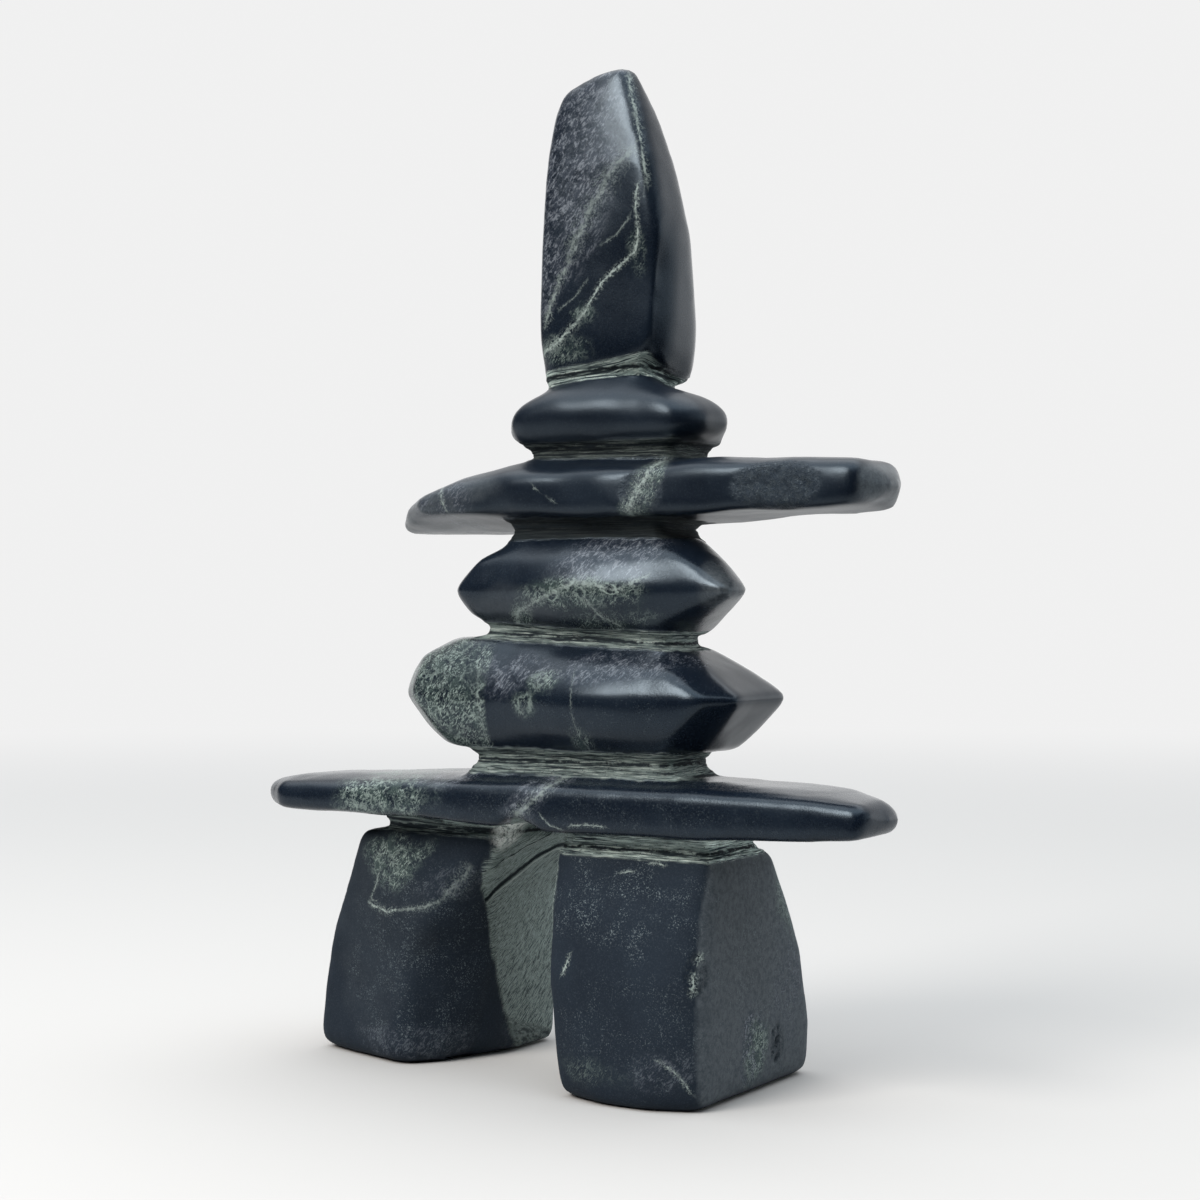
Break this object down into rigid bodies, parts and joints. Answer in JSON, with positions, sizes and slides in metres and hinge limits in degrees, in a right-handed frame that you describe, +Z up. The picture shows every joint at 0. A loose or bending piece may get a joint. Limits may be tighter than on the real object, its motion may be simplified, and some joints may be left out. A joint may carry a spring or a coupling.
{
  "type": "inukshuk sculpture",
  "caption": "Carved dark stone figure of stacked stones: legs, a lintel, torso stones, an arm slab, a neck stone and a tall head, parted by rough grooves.",
  "frame": {"origin": "under the middle of the carving's bounding box, in the plane that it stands on", "axes": "+Z up to the head; the wide front faces -Y; +X is to the right of someone who looks at the front"},
  "size_m": [0.1838, 0.0722, 0.2567],
  "materials": {
    "serpentine": "polished to a satin gloss, with pale veins; rasped and unpolished, paler grey-green, in the grooves and in the arch"
  },
  "bodies": {
    "root": {"inukshuk_carving": "serpentine"}
  },
  "joints": []
}
